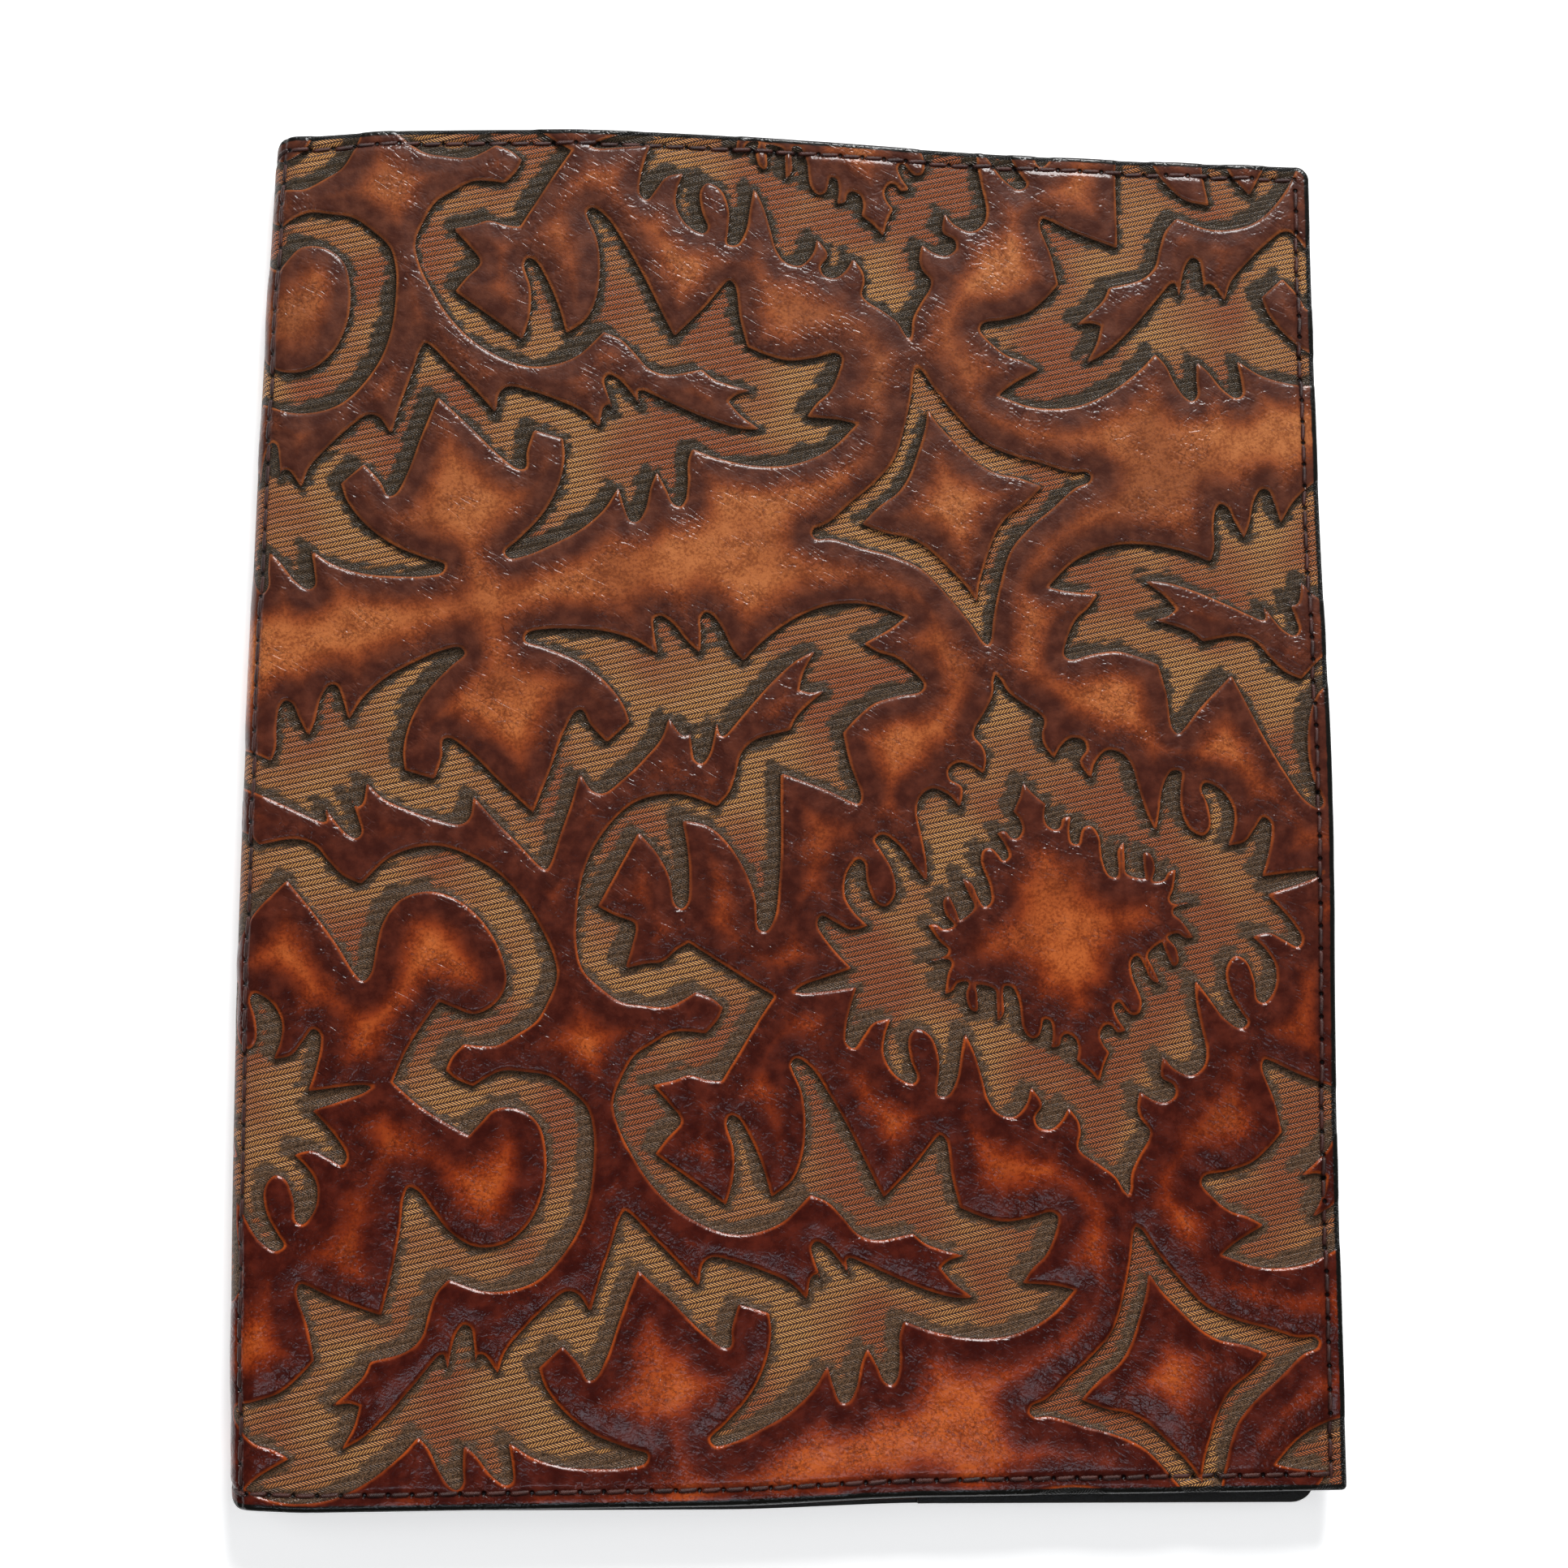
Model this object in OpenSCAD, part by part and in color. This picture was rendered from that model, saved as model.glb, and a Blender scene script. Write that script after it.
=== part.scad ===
// A soft leather cover for a composition notebook, lying closed with its front up.
// X runs from the spine fold to the free edge, Y up the page and Z up from the table.
// The origin is under the middle of the closed cover. All sizes are in millimetres.

/* [Cover] */
// Width of the closed cover, from the fold to the free edge
cover_w = 206; // [170:1:260]
// Height of the cover, along the spine
cover_h = 262; // [200:1:340]
// Gap between the two pockets when the cover is closed
panel_gap = 0.5; // [0.3:0.1:3]
// How much narrower the back is than the front
back_short = 4.7; // [0:0.1:8]
// How far the front's lower edge rises towards the free edge
front_rise = 2.5; // [0:0.1:4]

/* [Layers] */
// Thickness of the outer leather
leather_t = 1.6; // [1.2:0.1:2.4]
// Thickness of the stiffening board between leather and lining
board_t = 0.8; // [0.4:0.1:1.2]
// Thickness of the lining over the board
lining_t = 0.5; // [0.5:0.1:0.9]
// Room inside a pocket for the notebook's own cover
pocket_gap = 1.1; // [0.8:0.1:3]
// Thickness of a pocket's leather
pocket_t = 1; // [0.8:0.1:1.6]

/* [Pockets] */
// Width of a pocket, from the free edge to its mouth
pocket_w = 75; // [40:1:78]
// Width turned under and sewn down along a pocket's three closed sides
pocket_seam = 5.5; // [5:0.5:8]
// Distance from a pocket's mouth to its hem stitching
hem_in = 4; // [2:0.5:8]

/* [Corners] */
// Radius of the front's upper free corner
front_top_r = 3; // [1:0.5:12]
// Radius of the front's lower free corner
front_low_r = 1; // [1:0.5:12]
// Radius of the back's two free corners
back_r = 5; // [1:0.5:12]

/* [Stitching] */
// Distance of the seam from the edge
seam_in = 3; // [2.5:0.5:4]
// Distance from one stitch to the next
stitch_pitch = 4.4; // [4:0.1:6]
// Length of one stitch
stitch_len = 3.4; // [2:0.1:3.6]
// Thickness of the thread
thread_d = 0.6; // [0.4:0.05:0.7]

/* [Hidden] */

// Heights over a panel's outer face
lining_top = leather_t + board_t + lining_t;
pocket_base = lining_top + pocket_gap;
panel_t = pocket_base + pocket_t;
cover_t = 2 * panel_t + panel_gap;

// The hide bends about the middle of its own thickness, at each edge of the spine
hinge_x = -cover_w / 2 + leather_t / 2;
hinge_z = leather_t / 2;
hinge_gap = 0.05;
// The lining stops short of the hinge lines, so that the panels turn freely
lining_left = hinge_x + 1.2;
spine_lining_z = hinge_z + 2.6;
spine_lining_t = 0.5;

// The board stops short of the seam
board_in = 7;
board_fit = 0.05;

// Each run of thread lies in a shallow groove, flush with the leather
groove_w = thread_d + 0.3;
groove_d = thread_d + 0.02;
row_end = 0.5;
least_r = 0.2;
over = 1;

// A panel: x of its free edge, rise of its lower edge, lower and upper corner radius
FRONT = [cover_w / 2, front_rise, front_low_r, front_top_r];
BACK = [cover_w / 2 - back_short, 0, back_r, back_r];

LEATHER = "saddlebrown";
LINING = "darkolivegreen";
POCKET = "sienna";
BOARD = "tan";
THREAD = "maroon";

function arc(centre, r, start) =
    [for (i = [0:6]) centre + r * [cos(start + 15 * i), sin(start + 15 * i)]];

function inset_r(r, inset) = max(r - inset, least_r);

// A panel's outline moved in by inset, with its spine side at x = left
function outline(panel, left, inset = 0) =
    let (right = panel[0] - inset)
    let (low = -cover_h / 2 + inset)
    let (high = cover_h / 2 - inset)
    let (low_r = inset_r(panel[2], inset))
    let (high_r = inset_r(panel[3], inset))
    concat([[left, low]],
        arc([right - low_r, low + panel[1] + low_r], low_r, -90),
        arc([right - high_r, high - high_r], high_r, 0),
        [[left, high]]);

function pocket_left(panel) = panel[0] - pocket_w;

// Ends of the seam's straight runs
seam_left = -cover_w / 2 + seam_in;
seam_low = -cover_h / 2 + seam_in;
seam_high = cover_h / 2 - seam_in;
function seam_right(panel) = panel[0] - seam_in;
function low_end(panel) =
    [seam_right(panel) - inset_r(panel[2], seam_in), seam_low + panel[1]];
function high_end(panel) = [seam_right(panel) - inset_r(panel[3], seam_in), seam_high];
// Point on the lower run at a given x
function low_at(panel, x) =
    let (slope = panel[1] / (low_end(panel)[0] - seam_left))
    [x, seam_low + (x - seam_left) * slope];

module slab(panel, left, z0, z1, inset = 0)
    translate([0, 0, z0])
        linear_extrude(z1 - z0)
            polygon(outline(panel, left, inset));

module seam_ring(panel, z0, z1)
    difference() {
        slab(panel, seam_left - groove_w / 2, z0, z1, seam_in - groove_w / 2);
        slab(panel, seam_left + groove_w / 2, z0 - over, z1 + over, seam_in + groove_w / 2);
    }

// Stitches lying end to end from a to b at one height
module stitch_row(a, b, z) {
    run = b - a;
    count = floor((norm(run) - 2 * row_end) / stitch_pitch);
    for (i = [0:count - 1]) {
        along = row_end + (i + 0.5) * (norm(run) - 2 * row_end) / count;
        place = a + along / norm(run) * run;
        translate([place[0], place[1], z])
            rotate([0, 90, atan2(run[1], run[0])])
                cylinder(d = thread_d, h = stitch_len, center = true, $fn = 24);
    }
}

// Turns a panel built outer face down into the front, outer face up
module as_front()
    translate([0, 0, cover_t])
        mirror([0, 0, 1])
            children();

// Outer leather of one panel, ending in a round bead on the hinge line
module leather_panel(panel)
    difference() {
        union() {
            slab(panel, hinge_x, 0, leather_t);
            translate([hinge_x, 0, hinge_z])
                rotate([90, 0, 0])
                    cylinder(d = leather_t, h = cover_h, center = true, $fn = 48);
        }
        seam_ring(panel, -over, groove_d);
    }

module board_panel(panel)
    slab(panel, lining_left + board_in + board_fit, leather_t, leather_t + board_t,
        board_in + board_fit);

// Lining with a recess for the board and a seam groove outside the pocket
module lining_panel(panel)
    difference() {
        slab(panel, lining_left, leather_t, lining_top);
        slab(panel, lining_left + board_in, leather_t - over, leather_t + board_t, board_in);
        intersection() {
            seam_ring(panel, lining_top - groove_d, lining_top + over);
            translate([-cover_w / 2, -cover_h / 2, 0])
                cube([pocket_left(panel) + cover_w / 2, cover_h, panel_t]);
        }
    }

// Sheet of the sleeve for the notebook's own cover, with its mouth towards the spine
module pocket_sheet(panel)
    difference() {
        slab(panel, pocket_left(panel), pocket_base, panel_t);
        seam_ring(panel, panel_t - groove_d, panel_t + over);
        translate([pocket_left(panel) + hem_in - groove_w / 2, hem_low(), panel_t - groove_d])
            cube([groove_w, hem_high() - hem_low(), groove_d + over]);
    }

// Margin on three sides where the sheet is turned under and sewn down to the lining
module pocket_margin(panel)
    difference() {
        slab(panel, pocket_left(panel), lining_top, pocket_base);
        slab(panel, pocket_left(panel) - over, lining_top - over, pocket_base + over, pocket_seam);
    }

function hem_low() = -cover_h / 2 + front_rise + pocket_seam + 1;
function hem_high() = cover_h / 2 - pocket_seam - 1;

module outer_thread(panel) {
    z = groove_d - thread_d / 2;
    start = [seam_left, seam_low];
    stitch_row(start, low_end(panel), z);
    stitch_row([seam_left, seam_high], high_end(panel), z);
    stitch_row(start, [seam_left, seam_high], z);
    right_column(panel, z);
}

module right_column(panel, z)
    stitch_row([seam_right(panel), low_end(panel)[1] + inset_r(panel[2], seam_in)],
        [seam_right(panel), seam_high - inset_r(panel[3], seam_in)], z);

module inner_thread(panel) {
    lining_z = lining_top - groove_d + thread_d / 2;
    pocket_z = panel_t - groove_d + thread_d / 2;
    mouth = pocket_left(panel);
    stitch_row([seam_left, seam_low], [seam_left, seam_high], lining_z);
    stitch_row([seam_left, seam_low], low_at(panel, mouth), lining_z);
    stitch_row([seam_left, seam_high], [mouth, seam_high], lining_z);
    stitch_row(low_at(panel, mouth), low_end(panel), pocket_z);
    stitch_row([mouth, seam_high], high_end(panel), pocket_z);
    right_column(panel, pocket_z);
}

module hem_thread(panel)
    stitch_row([pocket_left(panel) + hem_in, hem_low()],
        [pocket_left(panel) + hem_in, hem_high()], panel_t - groove_d + thread_d / 2);

module back_leather() color(LEATHER) leather_panel(BACK);
module back_board() color(BOARD) board_panel(BACK);
module back_lining() color(LINING) lining_panel(BACK);
module back_pocket() color(POCKET) pocket_sheet(BACK);
module back_pocket_margin() color(POCKET) pocket_margin(BACK);
module back_outer_thread() color(THREAD) outer_thread(BACK);
module back_inner_thread() color(THREAD) inner_thread(BACK);
module back_hem_thread() color(THREAD) hem_thread(BACK);

module front_leather() color(LEATHER) as_front() leather_panel(FRONT);
module front_board() color(BOARD) as_front() board_panel(FRONT);
module front_lining() color(LINING) as_front() lining_panel(FRONT);
module front_pocket() color(POCKET) as_front() pocket_sheet(FRONT);
module front_pocket_margin() color(POCKET) as_front() pocket_margin(FRONT);
module front_outer_thread() color(THREAD) as_front() outer_thread(FRONT);
module front_inner_thread() color(THREAD) as_front() inner_thread(FRONT);
module front_hem_thread() color(THREAD) as_front() hem_thread(FRONT);

// Strip of the hide between the two hinge lines, upright while the cover is closed
module spine_leather()
    color(LEATHER)
        difference() {
            translate([-cover_w / 2, -cover_h / 2, leather_t + hinge_gap])
                cube([leather_t, cover_h, cover_t - 2 * (leather_t + hinge_gap)]);
            for (y = [seam_low, seam_high])
                translate([-cover_w / 2 - over, y - groove_w / 2, 0])
                    cube([groove_d + over, groove_w, cover_t]);
        }

module spine_lining()
    color(LINING)
        translate([-cover_w / 2 + leather_t, -cover_h / 2, spine_lining_z])
            cube([spine_lining_t, cover_h, cover_t - 2 * spine_lining_z]);

// One stitch at each end of the spine, where the seam crosses the fold
module spine_thread()
    color(THREAD)
        for (y = [seam_low, seam_high])
            translate([-cover_w / 2 + groove_d - thread_d / 2, y, cover_t / 2])
                cylinder(d = thread_d, h = stitch_len, center = true, $fn = 24);

back_leather();
back_board();
back_lining();
back_pocket();
back_pocket_margin();
back_outer_thread();
back_inner_thread();
back_hem_thread();
spine_leather();
spine_lining();
spine_thread();
front_leather();
front_board();
front_lining();
front_pocket();
front_pocket_margin();
front_outer_thread();
front_inner_thread();
front_hem_thread();
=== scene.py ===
"""The looks of an embossed leather notebook cover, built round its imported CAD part.

Lengths here are in mm and become metres when a mesh is made. The cover is described as a chart: reach runs
over a panel from the end of the spine fold to the free edge, and is negative on the fold itself; along runs
up the page; depth runs inward from the outside of the hide.
"""

import math
from types import SimpleNamespace

import bpy
import numpy as np
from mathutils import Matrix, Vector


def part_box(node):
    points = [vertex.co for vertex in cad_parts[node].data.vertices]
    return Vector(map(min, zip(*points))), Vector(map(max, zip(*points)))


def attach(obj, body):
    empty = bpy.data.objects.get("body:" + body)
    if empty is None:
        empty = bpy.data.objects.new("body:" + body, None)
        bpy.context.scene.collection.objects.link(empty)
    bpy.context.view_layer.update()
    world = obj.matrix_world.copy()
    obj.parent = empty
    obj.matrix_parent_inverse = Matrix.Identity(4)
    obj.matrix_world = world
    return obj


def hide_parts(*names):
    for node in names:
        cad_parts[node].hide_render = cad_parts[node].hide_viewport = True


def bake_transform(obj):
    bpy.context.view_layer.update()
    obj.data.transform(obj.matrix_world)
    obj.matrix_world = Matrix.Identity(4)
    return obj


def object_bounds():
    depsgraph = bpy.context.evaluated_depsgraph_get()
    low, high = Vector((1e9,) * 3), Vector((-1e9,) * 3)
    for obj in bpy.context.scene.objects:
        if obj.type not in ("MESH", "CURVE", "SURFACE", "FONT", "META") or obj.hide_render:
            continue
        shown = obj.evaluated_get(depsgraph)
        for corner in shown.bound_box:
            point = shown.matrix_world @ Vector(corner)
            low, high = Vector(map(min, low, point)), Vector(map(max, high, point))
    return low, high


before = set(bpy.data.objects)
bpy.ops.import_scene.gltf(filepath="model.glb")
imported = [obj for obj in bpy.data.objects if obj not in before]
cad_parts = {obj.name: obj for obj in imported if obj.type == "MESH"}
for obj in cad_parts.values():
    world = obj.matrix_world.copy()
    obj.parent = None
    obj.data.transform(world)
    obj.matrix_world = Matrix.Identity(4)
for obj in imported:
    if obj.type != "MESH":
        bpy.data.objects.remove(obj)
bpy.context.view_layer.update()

MM = 0.001
FRONT = 1
BACK = -1

# ------ sizes that come from the frame


def corner(node, which):
    """The lowest (0) or highest (1) corner of a CAD node, in mm."""
    return np.array(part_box(node)[which]) / MM


TOP = corner("front_leather", 1)[1]
BOTTOM = corner("front_leather", 0)[1]
LEFT = corner("front_leather", 0)[0]
COVER_THICK = corner("front_leather", 1)[2]
HIDE_THICK = corner("back_leather", 1)[2]
LINING_DEPTH = corner("back_lining", 1)[2]
BOARD_DEPTH = corner("back_board", 1)[2]
POCKET_UNDER = corner("back_pocket", 0)[2]
POCKET_DEPTH = corner("back_pocket", 1)[2]
RIGHT = {FRONT: corner("front_leather", 1)[0], BACK: corner("back_leather", 1)[0]}
MOUTH = {FRONT: corner("front_pocket", 0)[0], BACK: corner("back_pocket", 0)[0]}
BOARD_LOW = corner("back_board", 0)
BOARD_HIGH = {FRONT: corner("front_board", 1), BACK: corner("back_board", 1)}

# ------ sizes chosen here

RISE = {FRONT: 2.5, BACK: 0.0}  # how far the bottom edge climbs towards the free edge
TOP_ROUND = {FRONT: 3.0, BACK: 5.0}  # corner radii at the free edge
LOW_ROUND = {FRONT: 1.0, BACK: 5.0}
CELL = {FRONT: 0.5, BACK: 0.75}  # size of the hide's mesh cells
SEAM_IN = 3.0
FOLD_SEAM = -3.5  # reach of the stitches on the fold's shoulder
STITCH_PITCH = 4.4
STITCH_LENGTH = 3.7
THREAD_RADIUS = 0.42
HEM_IN = 4.0
POCKET_SEAM = 5.5
EMBOSS = 0.95  # depth of the pressed areas
PUFF = 0.24  # how far raised leather swells in its middle
FURROW = 0.3  # depth of the groove that the stitches lie in
FURROW_WIDTH = 0.7
EDGE_RELIEF = 0.35  # share of that depth that is left at the cut edge
EDGE_PRESS = 0.3  # the seam presses the leather this far down at the cut edge
HIDE_LEAST = 0.1  # the hide is never thinner than this
RUB_SHIFT = (1.9, 1.4)  # the tan colour keeps further away from edges on this side
RUB_SHIFT_KEEP = 0.3
STAR_RUB = 1.1  # it comes this much closer to the edges of the star

FOLD_ROUND = 2.2  # radius of the fold's two ends, seen from above
FOLD_BOW = 2.35  # the fold bows this much further out in its middle than at its ends
FOLD_BOW_ENDS = -0.6
FOLD_BOW_AT = -30.0
FOLD_BOW_FADE = 40.0

RIGHT_BOW = 2.4  # the free edge is this far beyond the part's box at its corners
RIGHT_SWELL = 1.2  # and this much further in its middle
RIGHT_SWELL_AT = 5
RIGHT_SWELL_WIDTH = 45
TOP_RISE = 1.6  # the top edge is this far beyond the part's box at the free edge
TOP_BOW = 3.2  # it bows this much further
TOP_BOW_AT = 65.6
TOP_BOW_WIDTH = 60
TOP_DROP = 1.2  # and drops this far at the fold
LOW_FALL = 0.4  # the bottom edge is this far below its straight line
LOW_BOW = 1.1  # and bows this much further away from the free edge
LOW_LIFT = 0.6  # it lifts this far at the fold
SAG = 0.13  # the leather sinks this far between the edges

FOLD_RADIUS = COVER_THICK / 2
FOLD_X = LEFT + FOLD_RADIUS
FOLD_HALF = math.pi * FOLD_RADIUS / 2  # from the end of a panel to the middle of the fold
LINING_FOLD = 0.55  # the lining's way round the fold, as a share of the hide's

# ------ the chart


def ramp(value, low, high):
    """0 below low, 1 above high, and smooth between."""
    t = np.clip((value - low) / (high - low), 0, 1)
    return t * t * (3 - 2 * t)


def bell(value, middle, width):
    """1 at the middle, falling to nothing over about two widths."""
    return np.exp(-((value - middle) / width) ** 2)


def fold_shift(reach, along):
    """How far left of its straight line the fold bows, fading out over the panel beside it."""
    arm = np.where(along > FOLD_BOW_AT, TOP - FOLD_BOW_AT, FOLD_BOW_AT - BOTTOM)
    bow = FOLD_BOW_ENDS + FOLD_BOW * (1 - ((along - FOLD_BOW_AT) / arm) ** 2)
    return bow * (1 - ramp(reach, 0, FOLD_BOW_FADE))


def place(side, reach, along, depth):
    """Points of the cover, in mm, from chart coordinates."""
    turn = np.clip(-reach / FOLD_RADIUS, 0, math.pi / 2)
    radius = FOLD_RADIUS - depth
    x = FOLD_X + np.maximum(reach, 0) - radius * np.sin(turn) - fold_shift(reach, along)
    z = FOLD_RADIUS + side * radius * np.cos(turn)
    return np.stack(np.broadcast_arrays(x, along, z), -1)


def right_edge(side, along):
    """Reach of the free edge, which bows outward a little."""
    return RIGHT[side] - FOLD_X + RIGHT_BOW + RIGHT_SWELL * bell(along, RIGHT_SWELL_AT, RIGHT_SWELL_WIDTH)


def fold_corner(reach):
    """How far the ends of the fold round off, seen from above."""
    turn = np.clip(-reach / FOLD_RADIUS, 0, math.pi / 2)
    up = np.clip(FOLD_ROUND - FOLD_RADIUS * (1 - np.sin(turn)), 0, FOLD_ROUND)
    return FOLD_ROUND - np.sqrt(FOLD_ROUND ** 2 - up ** 2)


def top_edge(side, reach):
    """How far up the page the top edge is: it bows upward and drops towards the fold."""
    bow = TOP_RISE + TOP_BOW * bell(reach, TOP_BOW_AT, TOP_BOW_WIDTH) - TOP_DROP * (1 - ramp(reach, -4, 22))
    return TOP + bow - fold_corner(reach)


def low_edge(side, reach):
    """How far up the page the bottom edge is: it bows down near the fold and climbs towards the free edge."""
    climb = RISE[side] * np.clip(reach / (RIGHT[side] - FOLD_X), 0, 1)
    bow = LOW_FALL + LOW_BOW * (1 - ramp(reach, 83.6, 123.6)) - LOW_LIFT * (1 - ramp(reach, -4, 10))
    return BOTTOM + climb - bow + fold_corner(reach)


def edge_distance(side, reach, along):
    """Distance to the nearest cut edge of the panel, round its rounded corners."""
    to_right = right_edge(side, along) - reach
    to_top = top_edge(side, reach) - along
    to_low = along - low_edge(side, reach)
    result = np.minimum(to_right, np.minimum(to_top, to_low))
    for to_side, radius in ((to_top, TOP_ROUND[side]), (to_low, LOW_ROUND[side])):
        across, up = radius - to_right, radius - to_side
        in_corner = (across > 0) & (up > 0)
        result = np.where(in_corner, radius - np.hypot(across, up), result)
    return result


def fit_outline(side, reach, along):
    """Moves the points of a plain rectangular grid so that its border follows the panel's outline."""
    share = (TOP - along) / (TOP - BOTTOM)
    fitted = along + (low_edge(side, reach) - BOTTOM) * share + (top_edge(side, reach) - TOP) * (1 - share)
    cut = np.zeros_like(reach)
    for to_side, radius in ((TOP - along, TOP_ROUND[side]), (along - BOTTOM, LOW_ROUND[side])):
        up = np.clip(radius - to_side, 0, radius)
        cut = cut + radius - np.sqrt(radius ** 2 - up ** 2)
    band = 3 * TOP_ROUND[side]
    near = np.clip(1 - (RIGHT[side] - FOLD_X - reach) / band, 0, 1)
    full = RIGHT[side] - FOLD_X
    wider = (right_edge(side, fitted) - RIGHT[side] + FOLD_X) * np.clip(reach / full, 0, 1)
    return reach + wider - cut * near, fitted


# ------ the pressed ornament

# The ornament repeats by mirroring one cell, TILE wide and high. Each list is one pressed area inside the
# cell: runs of points joined by smooth curves. A run starts with a sharp corner at the last point of the run
# before it, and the first run at the last point of the last run.
TILE = np.array([94.0, 87.0])
TILE_ORIGIN = np.array([-38.6, -45.4])
TILE_ACROSS = np.array([0.969, 0.228])
TILE_UP = np.array([-0.235, 0.966])

FOLIAGE = [
    [(4.7, 51.7), (9.3, 59), (12.3, 62.3), (13.7, 62.3), (14.6, 59.2), (16.9, 55.1)],
    [(22, 58)],
    [(21.5, 61.7), (19, 67), (14.7, 72), (9, 76), (5.9, 77.9), (6.6, 79.4), (10.3, 79.5), (16, 78.3),
     (21.3, 76.7), (26.7, 73.7), (30.4, 70)],
    [(30.6, 74), (31.2, 77), (32.6, 77.4), (34.7, 75.3), (36.8, 71), (38.5, 68.5)],
    [(39.5, 72.3), (40.1, 75.2), (41.4, 76.2), (42.7, 75.2), (44, 72), (45, 67.7), (46.4, 65.2)],
    [(50.3, 67.8), (57, 70.9), (63.7, 72.4), (69.3, 72), (74, 70.5), (79.6, 66.9)],
    [(76, 65.2), (70.2, 63.4)],
    [(72.7, 61.2), (75.6, 59.5), (78.4, 56), (79.8, 52.9), (78.8, 51.7), (74.3, 51.8), (69.3, 51.3),
     (65.3, 49.3), (62, 47)],
    [(61.9, 41), (62.5, 34), (61.6, 32.7), (60.3, 33.4), (56, 36.8), (48.3, 41.8)],
    [(46.9, 36), (45.2, 28.5), (43, 21), (40.6, 14.7), (38.3, 12.4), (37, 13.2), (37.7, 19), (37.1, 24.5),
     (35, 30.7), (32, 34.8), (27.6, 36.9)],
    [(27.3, 31), (26.3, 25.3), (24.8, 20.9), (23.4, 20.2), (22.4, 21.5), (22.6, 26.5), (21.3, 31.7),
     (18.8, 36.4)],
    [(14.7, 31.7), (8.1, 24.2)],
    [(10.7, 22), (14.1, 19.6), (14.2, 18.4), (12.7, 15.3), (10.6, 11.5)],
    [(14.7, 11.5), (17.6, 11.2), (20.7, 12.8), (23.4, 13.7)],
    [(28, 9), (33, 3.9), (37.1, 0)],
    [(26.8, 0)],
    [(25.3, 2), (22.5, 4)],
    [(19.7, 3), (16.5, 2.4), (12, 3.7), (8.3, 5.2), (5, 8.7), (2.5, 12.7), (2.3, 17.3), (3.7, 23.5),
     (5.9, 29.5), (9.3, 35), (14.7, 40), (19, 42.3), (23.5, 42.9), (28.7, 42), (34.8, 38.3)],
    [(37.7, 40.5), (39.7, 43.7), (41.8, 47.5), (45, 49.4), (52, 49.8)],
    [(53.7, 52), (56.5, 53.9), (60.3, 55.9)],
    [(57.5, 56.1), (55.5, 57.1)],
    [(57.3, 60.5), (60.3, 64)],
    [(56.3, 62.8), (51, 59.8), (45.7, 56), (41.3, 52.6), (39.6, 51.4), (38.6, 51.4), (38.4, 54.2)],
    [(37.2, 51.2), (35.6, 48.3), (33.8, 46.9), (32.6, 47.8), (32.6, 50.5), (33.1, 54.5)],
    [(32.5, 52.9), (31.3, 53.2), (29.6, 57)],
    [(27.4, 53.5), (23.3, 50.3), (18.3, 47.2), (14, 45.3), (12, 46.2), (10.4, 50)],
    [(7.7, 45), (4, 39), (1.3, 34.4), (0, 33)],
    [(0, 44.7)],
]
# Left of the first mirror line, one round bulb stands in the place of the leaves with these runs.
LEAF_RUNS = slice(9, 15)
BULB = [
    [(44, 33), (41.5, 27), (39.6, 21.5), (38.3, 19.8), (36.6, 21), (34.8, 25), (32.5, 29.7), (28.5, 33.4),
     (23, 34), (18, 31.4), (14, 26), (12, 19.5), (12.2, 13.8), (15, 10.4), (19.3, 9.3), (22.6, 11.2),
     (25.3, 13.1)],
    [(28.6, 10.1), (33.3, 5.3), (37.1, 0)],
]
STAR = [
    [(66, 85.9), (69, 85.3), (74.7, 82.1), (79.3, 79.7), (84.7, 75.7), (88.7, 69.1), (91.7, 62.7),
     (93.1, 58.9), (94, 57.8)],
    [(94, 67)],
    [(92.7, 70.4), (90, 75.1), (87, 79.6), (84, 82.4), (80, 84.2), (75.6, 87)],
    [(65.3, 87)],
]
MEDALLION = [
    [(93.3, 51), (92.4, 48.2), (90, 45.2), (87.3, 42.4), (86.8, 40.9), (87.9, 38.6), (88.1, 36.5),
     (86.9, 33.4)],
    [(84.9, 35.5), (82.5, 36.6), (80.3, 35.6), (80.1, 33.6), (82, 31.6), (80.8, 27.9)],
    [(79.3, 30.7), (76.3, 32.7), (73.5, 31.5), (72.2, 28.7), (72, 24), (71.7, 19), (70.9, 15)],
    [(69.3, 18.7), (67.2, 23.5), (64.7, 26), (62.9, 25.3), (63.6, 22.9), (64.8, 18.6), (64.3, 14.2),
     (62, 12.2), (60.3, 13.4), (59.6, 17.5), (60, 21.3), (58.9, 22.3), (56, 20), (54.7, 15.7), (55.7, 12.2),
     (57.6, 9.2)],
    [(54.3, 9.3), (51.8, 11.3), (49.4, 13.2), (48.2, 11.8), (48.9, 8.8), (50.9, 4.7), (52.6, 1.9)],
    [(47, 1.4), (42.5, 0.8), (40.7, 0)],
    [(67.4, 0)],
    [(71.3, 0.4), (71.8, 1.4), (70.6, 3.2), (69.1, 6.8)],
    [(70.6, 6.5), (71.8, 5.3), (74.1, 5.6), (73, 8), (73.2, 10.8), (74.2, 11.4), (74.9, 9), (75.2, 6.2)],
    [(77.5, 7.1), (78.8, 8.3), (78.4, 10.8), (77.7, 14.3)],
    [(79.2, 12.8), (79.8, 9.8), (80.6, 7.8), (82.1, 8.4), (82.7, 11.5), (82.2, 16.7), (83.2, 18.7),
     (84.6, 18.7), (85.6, 17.3), (86.4, 15.7), (87.7, 16.3), (87.6, 18.7), (86.6, 21.4)],
    [(88.2, 21.3), (88.9, 19.9), (90.1, 19.4), (91.6, 20.8), (91.6, 23), (90.8, 24.8)],
    [(92.7, 27.3), (94, 29.8)],
    [(94, 52.2)],
]

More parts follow.
